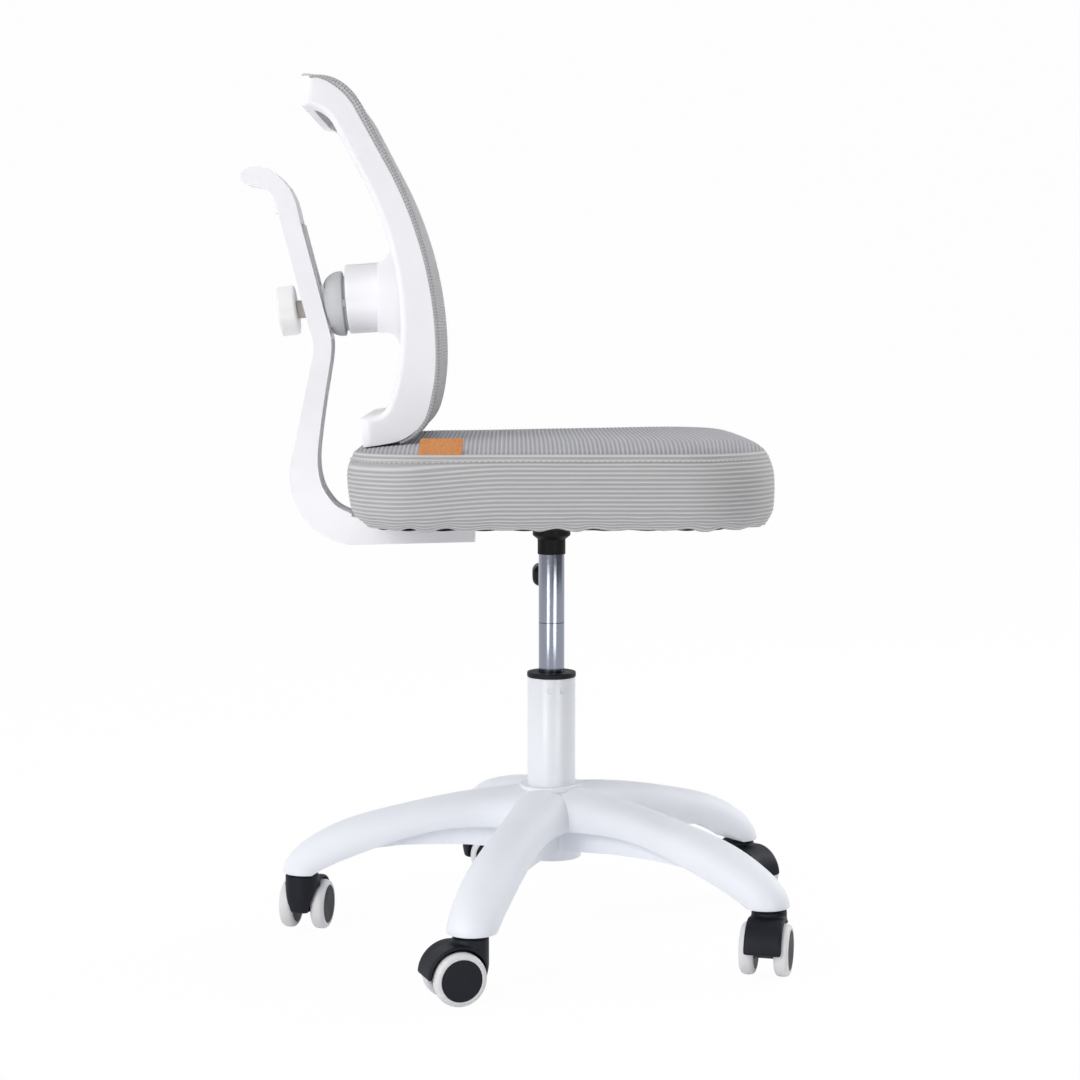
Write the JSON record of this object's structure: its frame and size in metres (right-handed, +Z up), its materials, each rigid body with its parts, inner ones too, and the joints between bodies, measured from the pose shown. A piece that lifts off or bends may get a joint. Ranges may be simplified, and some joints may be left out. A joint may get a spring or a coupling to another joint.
{
  "type": "children's swivel desk chair",
  "caption": "Small swivel desk chair for a child: padded ribbed seat, curved mesh backrest on a J-shaped upright, gas-lift column and star base on twin-wheel casters.",
  "frame": {"origin": "on the floor, under the axis of the column", "axes": "+X towards the seat's front edge, +Y to the sitter's left, +Z up along the column"},
  "size_m": [0.5533, 0.5432, 0.8458],
  "materials": {
    "base_plastic": "smooth moulded, soft gloss",
    "white_plastic": "smooth moulded, soft gloss",
    "knob_plastic": "smooth moulded, soft gloss",
    "washer_plastic": "matt",
    "grey_plastic": "matt moulded",
    "black_plastic": "matt moulded",
    "white_tread": "soft smooth",
    "tube_paint": "powder coat",
    "chrome": "polished",
    "steel": "zinc plated",
    "black_steel": "black powder coat",
    "rubber": "matt",
    "plywood": "raw ply",
    "foam": "cut foam",
    "ribbed_fabric": "ribbed knit",
    "mesh_fabric": "fine mesh weave",
    "dust_fabric": "thin felt",
    "tan_leather": "bare smooth tab"
  },
  "bodies": {
    "base": {"base_star": "base_plastic", "column_tube": "tube_paint", "guide_bush": "black_plastic", "caster_stems": "steel"},
    "spindle": {"piston_rod": "steel", "thrust_bearing": "steel", "rubber_buffer": "rubber", "rod_clip": "steel"},
    "seat": {"gas_cylinder": "chrome", "seat_plate": "black_steel", "seat_bolts": "steel", "seat_board": "plywood", "seat_foam": "foam", "seat_cover": "ribbed_fabric", "dust_cover": "dust_fabric", "side_label": "tan_leather", "back_upright": "white_plastic", "slot_trim": "grey_plastic"},
    "lever": {"height_lever": "black_steel", "lever_knob": "black_plastic"},
    "release": {"release_pin": "steel"},
    "slider": {"back_slider": "grey_plastic", "clamp_screw": "steel", "clamp_washer": "washer_plastic", "tilt_bush": "rubber"},
    "knob": {"clamp_knob": "knob_plastic"},
    "backrest": {"back_frame": "white_plastic", "mesh_ring": "grey_plastic", "tilt_pin": "steel", "back_mesh": "mesh_fabric"},
    "caster_1": {"caster_1_housing": "black_plastic", "caster_1_axle": "steel"},
    "caster_1_wheel_left": {"caster_1_core_left": "black_plastic", "caster_1_tread_left": "white_tread"},
    "caster_1_wheel_right": {"caster_1_core_right": "black_plastic", "caster_1_tread_right": "white_tread"},
    "caster_2": {"caster_2_housing": "black_plastic", "caster_2_axle": "steel"},
    "caster_2_wheel_left": {"caster_2_core_left": "black_plastic", "caster_2_tread_left": "white_tread"},
    "caster_2_wheel_right": {"caster_2_core_right": "black_plastic", "caster_2_tread_right": "white_tread"},
    "caster_3": {"caster_3_housing": "black_plastic", "caster_3_axle": "steel"},
    "caster_3_wheel_left": {"caster_3_core_left": "black_plastic", "caster_3_tread_left": "white_tread"},
    "caster_3_wheel_right": {"caster_3_core_right": "black_plastic", "caster_3_tread_right": "white_tread"},
    "caster_4": {"caster_4_housing": "black_plastic", "caster_4_axle": "steel"},
    "caster_4_wheel_left": {"caster_4_core_left": "black_plastic", "caster_4_tread_left": "white_tread"},
    "caster_4_wheel_right": {"caster_4_core_right": "black_plastic", "caster_4_tread_right": "white_tread"},
    "caster_5": {"caster_5_housing": "black_plastic", "caster_5_axle": "steel"},
    "caster_5_wheel_left": {"caster_5_core_left": "black_plastic", "caster_5_tread_left": "white_tread"},
    "caster_5_wheel_right": {"caster_5_core_right": "black_plastic", "caster_5_tread_right": "white_tread"}
  },
  "joints": [
    {"name": "seat_swivel", "type": "hinge", "parent": "base", "child": "spindle", "pos_m": [0, 0, 0.09], "axis": [0, 0, 1], "continuous": true},
    {"name": "seat_lift", "type": "slide", "parent": "spindle", "child": "seat", "axis": [0, 0, 1], "range_m": [-0.11, 0]},
    {"name": "lever_lift", "type": "hinge", "parent": "seat", "child": "lever", "pos_m": [0, 0.03, 0.4185], "axis": [1, 0, 0], "range_deg": [0, 6], "stiffness_Nm_per_rad": 5, "springref_deg": -5.73},
    {"name": "release_press", "type": "slide", "parent": "seat", "child": "release", "axis": [0, 0, -1], "range_m": [0, 0.0035]},
    {"name": "back_height", "type": "slide", "parent": "seat", "child": "slider", "axis": [-0.2504, 0, 0.9681], "range_m": [0, 0.045]},
    {"name": "knob_turn", "type": "hinge", "parent": "slider", "child": "knob", "pos_m": [-0.203, 0, 0.635], "axis": [0.9914, 0, 0.1305], "range_deg": [0, 360]},
    {"name": "back_tilt", "type": "hinge", "parent": "slider", "child": "backrest", "pos_m": [-0.203, 0, 0.635], "axis": [0, -1, 0], "range_deg": [0, 5], "stiffness_Nm_per_rad": 30, "springref_deg": -1.72},
    {"name": "caster_1_swivel", "type": "hinge", "parent": "base", "child": "caster_1", "pos_m": [-0.253, 0, 0.055], "axis": [0, 0, 1], "continuous": true},
    {"name": "caster_1_roll_left", "type": "hinge", "parent": "caster_1", "child": "caster_1_wheel_left", "pos_m": [-0.24967, 0.01565, 0.025], "axis": [-0.9781, 0.2079, 0], "continuous": true},
    {"name": "caster_1_roll_right", "type": "hinge", "parent": "caster_1", "child": "caster_1_wheel_right", "pos_m": [-0.24967, 0.01565, 0.025], "axis": [-0.9781, 0.2079, 0], "continuous": true},
    {"name": "caster_2_swivel", "type": "hinge", "parent": "base", "child": "caster_2", "pos_m": [-0.07818, -0.24062, 0.055], "axis": [0, 0, 1], "continuous": true},
    {"name": "caster_2_roll_left", "type": "hinge", "parent": "caster_2", "child": "caster_2_wheel_left", "pos_m": [-0.09322, -0.24609, 0.025], "axis": [0.342, -0.9397, 0], "continuous": true},
    {"name": "caster_2_roll_right", "type": "hinge", "parent": "caster_2", "child": "caster_2_wheel_right", "pos_m": [-0.09322, -0.24609, 0.025], "axis": [0.342, -0.9397, 0], "continuous": true},
    {"name": "caster_3_swivel", "type": "hinge", "parent": "base", "child": "caster_3", "pos_m": [0.20468, -0.14871, 0.055], "axis": [0, 0, 1], "continuous": true},
    {"name": "caster_3_roll_left", "type": "hinge", "parent": "caster_3", "child": "caster_3_wheel_left", "pos_m": [0.20054, -0.16416, 0.025], "axis": [0.9659, -0.2588, 0], "continuous": true},
    {"name": "caster_3_roll_right", "type": "hinge", "parent": "caster_3", "child": "caster_3_wheel_right", "pos_m": [0.20054, -0.16416, 0.025], "axis": [0.9659, -0.2588, 0], "continuous": true},
    {"name": "caster_4_swivel", "type": "hinge", "parent": "base", "child": "caster_4", "pos_m": [0.20468, 0.14871, 0.055], "axis": [0, 0, 1], "continuous": true},
    {"name": "caster_4_roll_left", "type": "hinge", "parent": "caster_4", "child": "caster_4_wheel_left", "pos_m": [0.21539, 0.13682, 0.025], "axis": [0.7431, 0.6691, 0], "continuous": true},
    {"name": "caster_4_roll_right", "type": "hinge", "parent": "caster_4", "child": "caster_4_wheel_right", "pos_m": [0.21539, 0.13682, 0.025], "axis": [0.7431, 0.6691, 0], "continuous": true},
    {"name": "caster_5_swivel", "type": "hinge", "parent": "base", "child": "caster_5", "pos_m": [-0.07818, 0.24062, 0.055], "axis": [0, 0, 1], "continuous": true},
    {"name": "caster_5_roll_left", "type": "hinge", "parent": "caster_5", "child": "caster_5_wheel_left", "pos_m": [-0.06224, 0.24201, 0.025], "axis": [-0.0872, 0.9962, 0], "continuous": true},
    {"name": "caster_5_roll_right", "type": "hinge", "parent": "caster_5", "child": "caster_5_wheel_right", "pos_m": [-0.06224, 0.24201, 0.025], "axis": [-0.0872, 0.9962, 0], "continuous": true}
  ],
  "couplings": [
    {"joint": "release_press", "follows": "lever_lift", "m_per_rad": 0.03}
  ]
}
